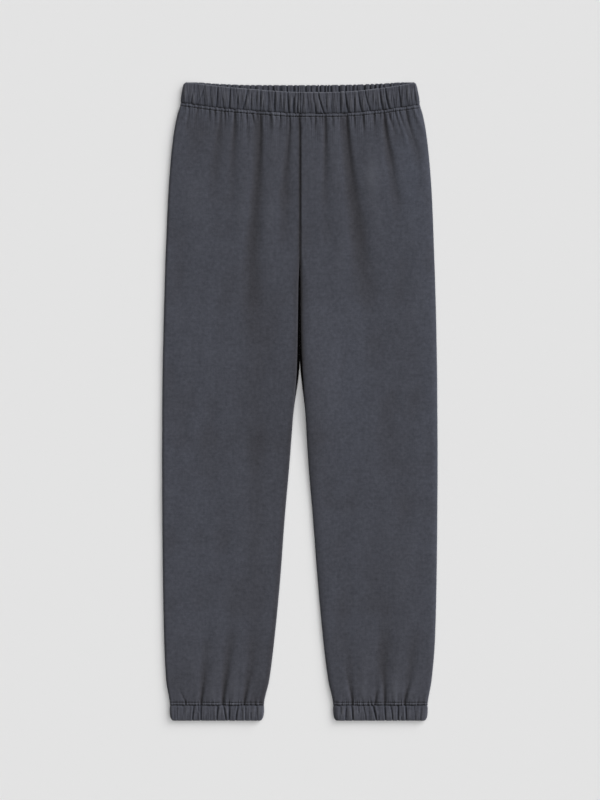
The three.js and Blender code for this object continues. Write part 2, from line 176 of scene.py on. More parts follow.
def readCurve(table, key, along, at):
    # A cubic through the table's rows. Its slope at a row is the harmonic mean of the slopes on
    # either side, or level where they disagree, so it never overshoots.
    xs, ys = table[along], table[key]
    steps = np.diff(xs)
    slopes = np.diff(ys) / steps
    before, after = slopes[:-1], slopes[1:]
    agree = before * after > 0
    means = np.where(agree, 2 * before * after / np.where(agree, before + after, 1), 0)
    tangents = np.concatenate([[0], means, [0]])
    place = np.clip(at, xs[0], xs[-1])
    i = np.clip(np.searchsorted(xs, place) - 1, 0, len(steps) - 1)
    t = (place - xs[i]) / steps[i]
    level = ys[i] * (1 + 2 * t) * (1 - t) ** 2 + ys[i + 1] * t * t * (3 - 2 * t)
    return level + steps[i] * (tangents[i] * t * (1 - t) ** 2 - tangents[i + 1] * t * t * (1 - t))


def section(key, up):  # a column of the sections, read at any height
    return readCurve(sections, key, "up", up)


def edge(key, up):  # a column of the edges, read at any height
    return readCurve(edges, key, "up", up)


def waistLine(key, x):  # the waistband's seam or top edge, read across the garment
    return readCurve(waistLines, key, "x", x)


def unevenness(x, y, seed, sizeX, sizeY, waves=16):
    # A sum of sine waves with seeded directions, lengths and starts, about -1 to 1.
    draw = np.random.default_rng(seed)
    total = np.zeros(np.broadcast(x, y).shape)
    for _ in range(waves):
        turnsX, turnsY, start = draw.normal() / sizeX, draw.normal() / sizeY, draw.random()
        total += np.sin(2 * math.pi * (x * turnsX + y * turnsY + start))
    return total / math.sqrt(waves)


def folds(table, x, distance, spreading, power, shape):
    # Each row is a crease that starts at the seam at x, drifts to end along an S curve, and widens
    # and fades out over its reach. A negative depth is a ridge.
    height = np.zeros(np.broadcast(x, distance).shape)
    for start, end, reach, depth, width in zip(*table.values()):
        t = np.clip(distance / reach, 0, 1)
        offset = x - start - (end - start) * smooth(1.2 * t)
        spread = width + spreading * np.clip(distance, 0, 300)
        height -= depth * (1 - t) ** power * shape(offset, spread)
    return height


def gathers(table, x, share):
    # Each row is a crease across a casing from its place at the folded edge to its place at the
    # seam, over the stated stretch of the way. A negative depth is a ridge.
    height = np.zeros(np.broadcast(x, share).shape)
    for atEdge, atSeam, depth, width, start, end in zip(*table.values()):
        offset = x - atEdge - (atSeam - atEdge) * share ** 1.5
        begins = smooth((share - start) / 0.2 + (start <= 0))
        stops = smooth((end - share) / 0.2 + (end >= 1))
        height -= depth * begins * stops * crease(offset, width * (0.8 + 0.4 * share))
    return height


def softLimit(height, deepest):  # hollows level off before they reach the deepest allowed
    return np.where(height < 0, -deepest * np.tanh(-height / deepest), height)


def loftAt(x, up):
    # The section's thickness with a broad swell over the crotch, and the share of it below the
    # seams of front and back.
    middle = bell(x, garment["crotchAcross"]) * bell(up - garment["crotchUp"], garment["crotchAlong"])
    swell = garment["crotchSwell"] + garment["leftSwell"] * (x > 0)
    return section("loft", up) + swell * middle, 0.5 + garment["crotchLift"] * middle


def turnAt(face, side, up):  # in radians, how far round a piece's inner edge has turned
    key = "Back" if face == "back" else "Right" if side < 0 else "Left"
    return np.radians(section("turn" + key, up))


def baseSurface(face, side, share, up, wall):
    # share runs from 0 at the side seam to 1 at the inner edge: a quarter-round roll, a flat, and a
    # softer roll that turns as far as the section says. Gives the outer and inner faces, the
    # outward direction in X and Z, and how level the cloth is, all before any relief.
    share, up = np.broadcast_arrays(share, up)
    name = "Right" if side < 0 else "Left"
    front = face == "front"
    turnEnd = turnAt(face, side, up)
    roll, sideFold = edge("roll" + name, up), edge("fold" + name, up)
    tuck = 0 if front else edge("tuck", up)
    innermost = section("inner" + name, up)
    start = section("side" + name, up) - sideFold
    end = innermost + (garment["centreGap"] / 2 - innermost) * tuck + roll * np.sin(turnEnd)
    sideShare, innerShare = garment["sideShare"], garment["innerShare"]
    turnSide = (1 - np.clip(share / sideShare, 0, 1)) * math.pi / 2
    innerPart = np.clip((share - 1 + innerShare) / innerShare, 0, 1)
    middle = np.clip((share - sideShare) / (1 - sideShare - innerShare), 0, 1)
    turnInner = turnEnd * innerPart
    across = start + middle * (end - start)
    across = across + sideFold * np.sin(turnSide) - roll * np.sin(turnInner)
    turn = turnSide + turnInner
    loft, split = loftAt(side * across, up)
    drop = (loft * (1 - split if front else split) - garment["seamGap"] / 2) * (1 - np.cos(turn))
    level = math.radians(garment["frontSeamTurn"] if front else garment["backSeamTurn"])
    lean = innerPart * math.pi / 2 * smooth((turnEnd - level) / (math.pi / 2 - level))
    insideDrop = np.where(innerPart > 0, drop * np.sin(lean), drop)
    outX = np.sin(turnSide) - np.sin(lean)
    outZ = np.cos(turnSide + lean)
    outerZ, innerZ = loft - drop, loft - insideDrop - wall * outZ
    if not front:
        outerZ, innerZ, outZ = loft - outerZ, loft - innerZ, -outZ
    outer = np.stack([side * across, hemY + up, outerZ], -1)
    inner = np.stack([side * (across - wall * outX), hemY + up, innerZ], -1)
    outward = np.stack([side * outX, 0 * outX, outZ], -1)
    return outer, inner, outward, np.clip(np.cos(turn), 0, 1)


def spaced(start, stops, multiple):
    # Distances from start with each stop given as (where, step), resampled so that the number of
    # steps is a multiple of the stated one.
    parts = [np.array([start], float)]
    for where, step in stops:
        count = max(1, round(abs(where - parts[-1][-1]) / step))
        parts.append(np.linspace(parts[-1][-1], where, count + 1)[1:])
    line = np.concatenate(parts)
    steps = multiple * round((len(line) - 1) / multiple)
    return np.interp(np.linspace(0, len(line) - 1, steps + 1), np.arange(len(line)), line)


def border(grid):  # the numbers of a grid's edge points, once round
    return np.concatenate([grid[0, :-1], grid[:-1, -1], grid[-1, :0:-1], grid[:0:-1, 0]])


def quads(grid):  # a face for each square of a grid of point numbers
    return np.stack([grid[:-1, :-1], grid[1:, :-1], grid[1:, 1:], grid[:-1, 1:]], -1).reshape(-1, 4)


def placeMesh(name, points, faces, smoothFaces, uv, marks, materials, kinds):
    # kinds gives the number of each face's material.
    mesh = bpy.data.meshes.new(name)
    mesh.from_pydata((points * mm).tolist(), [], faces)
    corners = np.zeros(len(mesh.loops), np.int32)
    mesh.loops.foreach_get("vertex_index", corners)
    mesh.uv_layers.new(name="cloth").data.foreach_set("uv", (uv[corners] * mm).ravel())
    for mark, values in marks.items():
        mesh.attributes.new(mark, "FLOAT", "POINT").data.foreach_set("value", values.astype(np.float32))
    mesh.polygons.foreach_set("use_smooth", np.arange(len(faces)) < smoothFaces)
    mesh.polygons.foreach_set("material_index", kinds)
    for material in materials:
        mesh.materials.append(material)
    mesh.update()
    piece = bpy.data.objects.new(name, mesh)
    bpy.context.scene.collection.objects.link(piece)
    return piece


def clothWall(name, outer, inner, outward, uv, marks, inside, materials, skip):
    # A closed wall: a grid of quads on the outer face, a grid with every skip-th line on the inner
    # face, and one strip round the border that joins them. marks are the outer face's attributes,
    # and inside is what each is on the inner face. The last material is the inner face's.
    grid = np.arange(outer[..., 0].size).reshape(outer.shape[:2])
    lining = inner[::skip, ::skip]
    under = outer[..., 0].size + np.arange(lining[..., 0].size).reshape(lining.shape[:2])
    ring, underRing = border(grid), border(under)
    along = np.arange(len(underRing))[:, None] * skip + np.arange(skip + 1)
    rim = np.concatenate([ring[along % len(ring)], np.roll(underRing, -1)[:, None], underRing[:, None]], 1)
    faces = [quads(grid), quads(under)[:, ::-1], rim]
    row, col = outer.shape[0] // 2, outer.shape[1] // 2
    facing = np.cross(outer[row + 1, col] - outer[row, col], outer[row, col + 1] - outer[row, col])
    if facing @ outward[row, col] < 0:
        faces = [part[:, ::-1] for part in faces]
    points = np.concatenate([outer.reshape(-1, 3), lining.reshape(-1, 3)])
    inside = {key: np.broadcast_to(inside[key], values.shape) for key, values in marks.items()}
    marks = {key: np.concatenate([values.ravel(), inside[key][::skip, ::skip].ravel()])
             for key, values in marks.items()}
    flat = np.concatenate([uv.reshape(-1, 2), uv[::skip, ::skip].reshape(-1, 2)])
    lists = [face for part in faces for face in part.tolist()]
    kinds = np.repeat([0, len(materials) - 1, 0], [len(part) for part in faces])
    smoothFaces = len(faces[0]) + len(faces[1])
    return placeMesh(name, points, lists, smoothFaces, flat, marks, materials, kinds)


def clothUv(outer):
    # Distances along the cloth: across from the middle column both ways, and up the garment.
    steps = np.linalg.norm(np.diff(outer, axis=1), axis=-1)
    run = np.concatenate([np.zeros((len(outer), 1)), np.cumsum(steps, 1)], 1)
    middle = outer.shape[1] // 2
    sign = np.sign(outer[0, -1, 0] - outer[0, 0, 0])
    u = outer[:, middle, 0][:, None] + sign * (run - run[:, middle][:, None])
    return np.stack([u, outer[..., 1]], -1)


def newGroup(name, inputs, outputs):  # an empty node group with named inputs and outputs
    group = bpy.data.node_groups.new(name, "ShaderNodeTree")
    for label, kind, value in inputs:
        socket = group.interface.new_socket(name=label, in_out="INPUT", socket_type=kind)
        socket.default_value = value
    for label, kind in outputs:
        group.interface.new_socket(name=label, in_out="OUTPUT", socket_type=kind)
    start = group.nodes.new("NodeGroupInput")
    end = group.nodes.new("NodeGroupOutput")
    return group, start, end


def node(tree, kind, links=None, **settings):
    # Adds a node. settings are its properties; links are its inputs, given as a socket or a value.
    made = tree.nodes.new(kind)
    for key, value in settings.items():
        setattr(made, key, value)
    for key, value in (links or {}).items():
        if isinstance(value, bpy.types.NodeSocket):
            tree.links.new(value, made.inputs[key])
        else:
            made.inputs[key].default_value = value
    return made


def maths(tree, operation, first, second=0.0, third=0.0):  # one calculation on sockets or values
    links = {0: first, 1: second, 2: third}
    return node(tree, "ShaderNodeMath", links, operation=operation).outputs[0]


def noise(tree, vector, scale, detail=2.0, roughness=0.5):  # noise shifted to run about -0.5 to 0.5
    made = node(tree, "ShaderNodeTexNoise", {"Vector": vector, "Scale": scale, "Detail": detail,
                                             "Roughness": roughness})
    return maths(tree, "SUBTRACT", made.outputs["Fac"], 0.5)


def stretched(tree, vector, x, y):  # a place times x across and y along the cloth
    return node(tree, "ShaderNodeMapping", {"Vector": vector, "Scale": (x, y, 1)}).outputs[0]


def makeKnitGroup():
    # Washed, brushed jersey. Colour is the cloth colour times a tone: one plus clouds, blotches,
    # heather, wales, courses and grain, plus painted light and shade, less painted shade in hollows. What
    # is painted darker is also warmer, and ridges fade, as wear and as a painted highlight. Height is wales,
    # courses and loose fibre.
    group, start, end = newGroup("brushedKnit", [
        ("Cloth", "NodeSocketColor", (0.06, 0.062, 0.075, 1)),
        ("FadedAndHighlight", "NodeSocketColor", (0.12, 0.125, 0.14, 1)),
        ("Blotches", "NodeSocketFloat", 0.3),
        ("Heather", "NodeSocketFloat", 0.3),
        ("Streaks", "NodeSocketFloat", 0.2),
        ("Grain", "NodeSocketFloat", 0.3),
        ("PaintedHollowShade", "NodeSocketFloat", 0.45),
        ("ShadeWarmth", "NodeSocketFloat", 0.2),
    ], [("Colour", "NodeSocketColor"), ("Roughness", "NodeSocketFloat"), ("Height", "NodeSocketFloat")])
    uv = node(group, "ShaderNodeUVMap", uv_map="cloth").outputs[0]
    paintedLightAndWear, paintedShading = (node(group, "ShaderNodeAttribute", attribute_name=mark).outputs["Fac"]
                  for mark in ("paintedLightAndWear", "paintedShading"))
    blotch = noise(group, uv, 60, 4, 0.6)
    cloud = noise(group, uv, 12, 2)
    heather = noise(group, uv, 190, 2, 0.7)
    wales = noise(group, stretched(group, uv, 1, 0.07), 420, 2)
    courses = noise(group, stretched(group, uv, 0.09, 1), 460, 2)
    streak = maths(group, "ADD", wales, courses)
    grain = noise(group, uv, 1000, 2, 0.7)
    tone = maths(group, "MULTIPLY_ADD", blotch, start.outputs["Blotches"], 1.0)
    tone = maths(group, "MULTIPLY_ADD", cloud, 0.08, tone)
    tone = maths(group, "MULTIPLY_ADD", heather, start.outputs["Heather"], tone)
    tone = maths(group, "MULTIPLY_ADD", streak, start.outputs["Streaks"], tone)
    tone = maths(group, "MULTIPLY_ADD", grain, start.outputs["Grain"], tone)
    # Painted shade: where the mark is below zero, in creases, grooves and the slit, the cloth is darkened.
    hollowShade = maths(group, "MULTIPLY", maths(group, "MINIMUM", paintedLightAndWear, 0.0), start.outputs["PaintedHollowShade"])
    # The attribute of painted light and shade adds to it.
    shade = maths(group, "ADD", hollowShade, paintedShading)
    tone = maths(group, "MULTIPLY", tone, maths(group, "ADD", shade, 1.0))
    dyed = node(group, "ShaderNodeVectorMath", {0: start.outputs["Cloth"], 3: tone}, operation="SCALE")
    # Painted shade and light also tilt the hue, by the warmth setting.
    warm = maths(group, "MULTIPLY", shade, start.outputs["ShadeWarmth"])
    tilt = node(group, "ShaderNodeCombineXYZ", {0: maths(group, "SUBTRACT", 1.0, warm), 1: 1.0,
                                                2: maths(group, "ADD", 1.0, warm)})
    dyed = node(group, "ShaderNodeVectorMath", {0: dyed.outputs[0], 1: tilt.outputs[0]},
                operation="MULTIPLY")
    # Where the mark is above zero, on ridges and folded edges, the cloth fades: wear, and in part a painted
    # highlight.
    wornAndHighlit = maths(group, "MAXIMUM", paintedLightAndWear, 0.0)
    mask = maths(group, "MULTIPLY", maths(group, "MULTIPLY_ADD", grain, 0.8, wornAndHighlit), wornAndHighlit)
    tint = node(group, "ShaderNodeMix", {"Factor": mask, 6: dyed.outputs[0], 7: start.outputs["FadedAndHighlight"]},
                data_type="RGBA")
    specks = node(group, "ShaderNodeMapRange", {"Value": noise(group, stretched(group, uv, 1, 0.5), 640, 1),
                                                "From Min": 0.19, "From Max": 0.3})
    speckled = node(group, "ShaderNodeMix", {"Factor": maths(group, "MULTIPLY", specks.outputs[0], 0.22),
                                             6: tint.outputs[2], 7: start.outputs["FadedAndHighlight"]}, data_type="RGBA")
    group.links.new(speckled.outputs[2], end.inputs["Colour"])
    roughness = maths(group, "MULTIPLY_ADD", heather, 0.12, 0.93)
    group.links.new(maths(group, "MULTIPLY_ADD", paintedLightAndWear, -0.05, roughness), end.inputs["Roughness"])
    parts = node(group, "ShaderNodeSeparateXYZ", {0: uv})
    wobble = maths(group, "MULTIPLY", noise(group, uv, 90, 1), 2.0)
    across = maths(group, "MULTIPLY_ADD", parts.outputs[0], 2 * math.pi / knit["waleWidth"], wobble)
    lean = maths(group, "ABSOLUTE", maths(group, "SINE", maths(group, "MULTIPLY", across, 0.5)))
    rise = maths(group, "MULTIPLY_ADD", parts.outputs[1], 2 * math.pi / knit["courseHeight"], wobble)
    course = maths(group, "SINE", maths(group, "MULTIPLY_ADD", lean, 2.4, rise))
    wale = maths(group, "COSINE", across)
    height = maths(group, "MULTIPLY_ADD", course, 0.35, maths(group, "MULTIPLY", wale, 0.5))
    height = maths(group, "MULTIPLY_ADD", grain, 3.0, height)
    group.links.new(maths(group, "MULTIPLY_ADD", heather, 2.0, height), end.inputs["Height"])
    return group


knit = dict(waleWidth=0.0011, courseHeight=0.0009)
knitGroup = makeKnitGroup()


def principled(name, sockets):  # a material with its Principled shader's constants set
    material = bpy.data.materials.new(name)
    material.use_nodes = True
    shader = material.node_tree.nodes["Principled BSDF"]
    for key, value in sockets.items():
        shader.inputs[key].default_value = value
    return material, material.node_tree, shader


def knitMaterial(name, values, bump, sheen):
    # Brushed knit: the group's colour and roughness, with its height as a bump.
    material, tree, shader = principled(name, {
        "Specular IOR Level": 0.12, "Sheen Weight": sheen, "Sheen Roughness": 0.6,
        "Sheen Tint": (0.75, 0.78, 0.9, 1)})
    group = node(tree, "ShaderNodeGroup", node_tree=knitGroup)
    for key, value in values.items():
        group.inputs[key].default_value = value
    raised = node(tree, "ShaderNodeBump", {"Height": group.outputs["Height"], "Distance": 0.0001,
                                           "Strength": bump})
    tree.links.new(group.outputs["Colour"], shader.inputs["Base Color"])
    tree.links.new(group.outputs["Roughness"], shader.inputs["Roughness"])
    tree.links.new(raised.outputs[0], shader.inputs["Normal"])
    return material


legKnit = knitMaterial("legKnit", {
    "Cloth": (0.0500, 0.0527, 0.0643, 1), "FadedAndHighlight": (0.115, 0.120, 0.140, 1), "Blotches": 0.40,
    "Heather": 0.9, "Streaks": 0.2, "Grain": 0.7, "ShadeWarmth": 0.2}, bump=0.5, sheen=0.2)
legInsideShade = knitMaterial("legInsideShade", {  # the smooth side, seen only in the slit between the legs, much darker and without sheen as painted shade in the slit
    "Cloth": (0.0300, 0.0315, 0.0385, 1), "FadedAndHighlight": (0.0300, 0.0315, 0.0385, 1)}, bump=0.5, sheen=0.0)
casingKnit = knitMaterial("casingKnit", {
    "Cloth": (0.0475, 0.0492, 0.0595, 1), "FadedAndHighlight": (0.122, 0.124, 0.134, 1), "Blotches": 0.35,
    "Heather": 0.9, "Streaks": 0.25, "Grain": 0.7, "PaintedHollowShade": 0.7, "ShadeWarmth": -0.12}, bump=0.5, sheen=0.2)


def threadMaterial():  # twisted thread: fine diagonal bands along each stitch
    material, tree, shader = principled("sewingThread", {"Specular IOR Level": 0.3, "Sheen Weight": 0.1})
    uv = node(tree, "ShaderNodeUVMap", uv_map="cloth").outputs[0]
    twist = node(tree, "ShaderNodeTexWave", {"Vector": uv, "Scale": 500, "Distortion": 1.0},
                 bands_direction="DIAGONAL")
    colour = node(tree, "ShaderNodeMix", {"Factor": twist.outputs["Fac"], 6: (0.022, 0.023, 0.030, 1),
                                          7: (0.040, 0.042, 0.052, 1)}, data_type="RGBA")
    rough = maths(tree, "MULTIPLY_ADD", twist.outputs["Fac"], 0.2, 0.6)
    raised = node(tree, "ShaderNodeBump", {"Height": twist.outputs["Fac"], "Distance": 0.0001})
    tree.links.new(colour.outputs[2], shader.inputs["Base Color"])
    tree.links.new(rough, shader.inputs["Roughness"])
    tree.links.new(raised.outputs[0], shader.inputs["Normal"])
    return material


thread = threadMaterial()
print("materials made")

leg = dict(
    cloth=2.3,
    thinnest=1.2,  # where a crease would cut deeper, the inside gives way
    columns=280,
    deepest=3.0,
    waistRows=(0.5, 5.6),  # the two needle rows, below the waist seam
    cuffRows=(0.8, 4.8),  # and above the cuff seam
    rowDepth=1.3,
    rowWidth=0.65,
    ridge=0.2,  # the cloth swells between the two rows
    seamSink=0.25,
    pucker=0.35,  # small ripples that the stitching draws up
    centreSink=1.0,  # how far the centre seam is drawn in
    creaseDepth=2.0,  # the creases' depths are times this on the front
    waistFade=12.0,  # how far from the waist seam and the cuff seam the fine unevenness fades
    ankleFade=9.0,
    puckerFade=22.0,  # and the puckers
    backDeepest=1.4,
    backLevel=0.15,  # creases of the back shallower than this are pressed flat
)

# Creases under the waistband: where each meets the seam, where it ends and how far down.
hipCreases = columns("x end reach depth width", [
    [-170.7, -176, 51, 1.6, 1.8], [-158.3, -163, 39, 1.4, 1.6], [-140.9, -141, 30, 1.4, 1.5],
    [-131.9, -132, 42, 1.8, 1.6], [-122.6, -134, 105, 0.9, 1.3], [-116.7, -117, 39, 1.8, 1.6],
    [-111.7, -111, 26, 1.4, 1.4], [-101, -106.5, 112, 1.5, 1.4], [-91.6, -91, 26, 1.6, 1.4],
    [-82.5, -81, 62, 1.3, 1.3], [-74.5, -69, 40, 1.8, 1.5], [-66.7, -64.4, 28, 1.4, 1.4],
    [-61, -77, 345, 2, 1.6], [-45.8, -46, 36, 1.8, 1.6], [-37.6, -38, 26, 1.4, 1.4],
    [-30.3, -32.6, 42, 1.8, 1.6], [-15.5, -26, 190, 1.4, 1.4], [-3.4, -3.6, 21, 1.2, 1.4],
    [15.5, 15.6, 28, 1.6, 1.5], [24, 22.5, 39, 1.8, 1.6], [29.5, 29.6, 22, 1.2, 1.4],
    [34, 34.4, 28, 1.4, 1.4], [39, 38, 195, 1.3, 1.4], [50.4, 50, 28, 1.6, 1.5],
    [58.2, 58, 22, 1.2, 1.4], [63, 62, 36, 1.8, 1.6], [72.6, 100, 345, 2, 1.6],
    [83.8, 84.5, 33, 1.6, 1.5], [97.8, 99, 45, 1.9, 1.6], [114.8, 115, 36, 1.8, 1.6],
    [124, 124, 26, 1.4, 1.4], [130.3, 151.3, 190, 1.8, 1.5], [137, 147, 55, 1.3, 1.5],
    [147.4, 160, 70, 1.2, 1.5], [153.6, 170, 75, 1.2, 1.5], [164.5, 185, 115, 1.3, 1.5],
])

# Creases above the cuffs.
ankleCreases = columns("x end reach depth width", [
    [-177, -187, 36, 1, 1.3], [-158, -158, 15, 1.2, 1.2], [-153.6, -147, 75, 1.7, 1.4],
    [-137, -137, 13, 0.9, 1.2], [-119.8, -109, 120, 2, 1.6], [-110, -109, 13, 1, 1.2],
    [-91, -91, 13, 1, 1.2], [-86.5, -73.7, 90, 1.7, 1.5], [-70, -70, 14, 0.9, 1.2],
    [66, 66, 13, 0.7, 1.2], [80.8, 71.5, 75, 1.6, 1.5], [98, 97, 16, 1, 1.3],
    [110.5, 108, 18, 1.2, 1.3], [116, 121, 42, 1.6, 1.4], [131, 128, 95, 1.3, 1.5],
    [145, 145, 13, 0.9, 1.2], [156.7, 156, 16, 1.2, 1.2], [161.7, 174, 72, 1.7, 1.5],
    [168.4, 169, 13, 1, 1.2], [182, 184, 20, 0.9, 1.4],
])

# Broad soft folds down the legs from the waist, and up them from the cuffs.
hipFolds = columns("x end reach depth width", [
    [-170, -198, 80, -1.4, 2.5], [-123, -136, 200, 1.0, 3], [-101, -108, 240, 1.2, 3],
    [-88, -95, 280, -0.8, 5], [-66, -80, 430, 2.0, 4], [-40, -50, 320, -1.0, 6],
    [-21, -27, 280, 1.3, 3], [14, 26, 320, -0.8, 8], [39, 38, 260, 1.1, 3], [55, 66, 340, -1.0, 6],
    [68, 106, 440, 2.0, 4], [103, 126, 320, -0.9, 6], [130, 156, 280, 1.6, 3],
    [150, 173, 110, -0.7, 3], [164, 187, 170, 0.8, 3], [177, 200, 80, -1.5, 2.5],
])
ankleFolds = columns("x end reach depth width", [
    [-153.6, -145, 160, 1.4, 3], [-136, -128, 160, -1.0, 5], [-119.8, -105, 200, 1.8, 3.5],
    [-103, -92, 150, -1.0, 5], [-86.5, -71, 160, 1.3, 3], [80.8, 70, 140, 1.3, 3],
    [98, 98, 150, -0.9, 5], [116, 124, 120, 0.9, 3], [131, 127, 180, 1.3, 3.5],
    [147, 152, 140, -0.9, 4], [161.7, 177, 140, 1.4, 3],
])

# Soft patches of painted light and shade on the front, lighter or darker, standing for the broad shading of
# its slopes.
paintedShadingPatches = columns("x up sizeX sizeUp amount", [
    [-69, 430, 13, 420, -0.09], [-40, 300, 55, 260, -0.05], [-165, 480, 45, 320, 0.03],
    [-140, 30, 110, 90, -0.13], [82, 520, 30, 150, 0.06], [24, 430, 18, 100, -0.08],
    [140, 210, 40, 130, -0.05], [205, 520, 22, 330, 0.09], [130, 30, 110, 90, -0.13],
    [-95, 860, 90, 90, -0.03], [60, 860, 60, 90, -0.03], [-28, 900, 22, 60, -0.05],
    [172, 850, 28, 110, 0.13],
])


def paintedShadingAt(x, up):  # the sum of the patches, each a bell both ways
    total = np.zeros(np.broadcast(x, up).shape)
    for atX, atUp, sizeX, sizeUp, amount in zip(*paintedShadingPatches.values()):
        total += amount * bell(x - atX, sizeX) * bell(up - atUp, sizeUp)
    return total


def needleRows(distance, rows):  # a narrow groove along each row, and a swell between the two
    grooves = -leg["rowDepth"] * sum(bell(distance - row, leg["rowWidth"]) for row in rows)
    return grooves + leg["ridge"] * bell(distance - sum(rows) / 2, 1.7)


def frontRelief(x, up):
    # Creases from both seams, the needle rows, fine puckers that fade away from the seams, and the
    # cloth's own gentle unevenness, stretched along the leg.
    below = waistLine("frontSeam", x) - up
    above = up - garment["cuffSeam"]
    height = leg["creaseDepth"] * folds(hipCreases, x, below, 0.05, 1.3, crease)
    height *= 0.3 + 0.7 * smooth((below - 3.5) / 3)  # the strip between the two rows stays flatter
    height += leg["creaseDepth"] * folds(ankleCreases, x, above, 0.075, 1.4, crease)
    height += folds(hipFolds, x, below, 0.045, 1.0, bell) + folds(ankleFolds, x, above, 0.06, 1.0, bell)
    height += needleRows(below, leg["waistRows"]) + needleRows(above, leg["cuffRows"])
    height -= leg["seamSink"] * (bell(below, 0.8) + bell(above, 0.8))
    height -= leg["centreSink"] * bell(x - 0.9, 1.3) * (x > 0) * smooth((up - 690) / 40)
    underWaist, overAnkle = np.clip(below, 0, None), np.clip(above, 0, None)
    near = np.exp(-underWaist / leg["waistFade"]) + np.exp(-overAnkle / leg["ankleFade"])
    height += 0.5 * near * unevenness(x, up, 21, 8, 60)
    drawn = np.exp(-underWaist / leg["puckerFade"]) + bell(above - 3, 5)
    height += leg["pucker"] * drawn * unevenness(x, up, 24, 4, 50)
    height += 0.07 * unevenness(x, up, 22, 26, 36) + 0.4 * unevenness(x, up, 23, 90, 150)
    return softLimit(height, leg["deepest"])


def backRelief(x, up):
    # The hidden back rests flat, so its creases only rise from the surface it lies on.
    below = waistLine("backSeam", x) - up
    above = up - garment["cuffSeam"]
    height = folds(hipCreases, 4 - x, 1.5 * below, 0.05, 1.3, crease)
    height += folds(ankleCreases, -x, 1.3 * above, 0.06, 1.3, crease)
    height += needleRows(below, leg["waistRows"]) + needleRows(above, leg["cuffRows"])
    height -= leg["seamSink"] * (bell(below, 1.0) + bell(above, 1.0))
    return softLimit(np.minimum(height + leg["backLevel"], 0), leg["backDeepest"])


def makeLeg(face, side):
    # A leg panel: its surface moved outwards by its relief, with rows closest at the seams. Its mark of
    # wear and painted light is a share of the relief: raised cloth and the strip between the needle rows fade
    # lighter, in part as a painted highlight, and hollows and the rows themselves are painted darker as
    # shade.
    seam = face + "Seam"
    gap = garment["seamGap"] / 2
    low, high = garment["cuffSeam"] + gap, waistLine(seam, 0.0) - gap
    if face == "front":
        stops = [(low + 9, 0.5), (low + 40, 1.5), (low + 110, 3.5), (high - 220, 8), (high - 90, 4.5),
                 (high - 25, 1.9), (high - 9, 1.0), (high, 0.45)]
        cols, relief = leg["columns"], frontRelief
    else:
        stops = [(low + 8, 0.8), (low + 40, 3), (high - 220, 12), (high - 60, 6), (high - 9, 2), (high, 0.8)]
        cols, relief = leg["columns"] // 2, backRelief
    rows = spaced(low, stops, 2)[:, None]
    share = np.linspace(0, 1, cols + 1)[None, :]
    rough = baseSurface(face, side, share, rows, leg["cloth"])[0][..., 0]
    up = rows + (waistLine(seam, rough) - waistLine(seam, 0.0)) * smooth((rows - high + 200) / 200)
    outer, inner, outward, level = baseSurface(face, side, share, up, leg["cloth"])
    height = relief(outer[..., 0], up) * level ** garment["reliefFade"]
    below = waistLine(seam, outer[..., 0]) - up
    above = up - garment["cuffSeam"]
    ridge = bell(below - sum(leg["waistRows"]) / 2, 1.3) + 1.5 * bell(above - sum(leg["cuffRows"]) / 2, 0.9)
    sewn = sum(bell(below - row, 0.8) for row in leg["waistRows"])
    sewn = sewn + sum(bell(above - row, 0.8) for row in leg["cuffRows"])
    # Painted light and wear: lighter on raised cloth and between the needle rows, painted shade in hollows
    # and on the rows.
    paintedLightAndWear = np.clip(0.2 * ridge - 0.35 * sewn + 0.33 * height, -1, 1)
    if face == "front":  # painted shade, darker down in the centre seam and between the tops of the legs
        turned = smooth((share - 1 + 0.6 * garment["innerShare"]) / (0.5 * garment["innerShare"]))
        paintedLightAndWear = paintedLightAndWear - bell(outer[..., 0] + 0.2, 1.5) * smooth((up - 700) / 30)
        paintedLightAndWear = np.clip(paintedLightAndWear - turned * smooth((up - 530) / 40) * smooth((730 - up) / 30), -1, 1)
    inner = inner + outward * np.minimum(0, height + leg["cloth"] - leg["thinnest"])[..., None]
    name = "leg" + face.capitalize() + ("Right" if side < 0 else "Left")
    uv = clothUv(outer)
    # Patches of painted light and shade, on the front only.
    paintedShading = paintedShadingAt(outer[..., 0], up) if face == "front" else 0 * paintedLightAndWear
    if face == "front" and side < 0:  # painted shade: the lip of the wearer's right inside leg is darker
        paintedShading = paintedShading - 0.3 * smooth((share - 1 + 1.5 * garment["innerShare"]) / garment["innerShare"])
    marks = dict(paintedLightAndWear=paintedLightAndWear, paintedShading=paintedShading)
    # The inner face is painted darkest, as shade in the slit between the legs.
    return clothWall(name, outer + outward * height[..., None], inner, outward, uv, marks,
                     dict(paintedLightAndWear=-1.0, paintedShading=-0.3), [legKnit, legInsideShade], 2)


waistband = dict(wall=4.0, columns=250, puff=0.7, deepest=3.2, gather=1.5, seamSink=0.45, scallop=0.35,
                 backScallop=0.8, fineCreases=0.6, seamShade=0.12)
cuff = dict(wall=3.8, columns=210, puff=0.7, deepest=3.0, gather=1.9, seamSink=0.55, scallop=0.45,
            backScallop=0.35, fineCreases=0.5, seamShade=0.0)

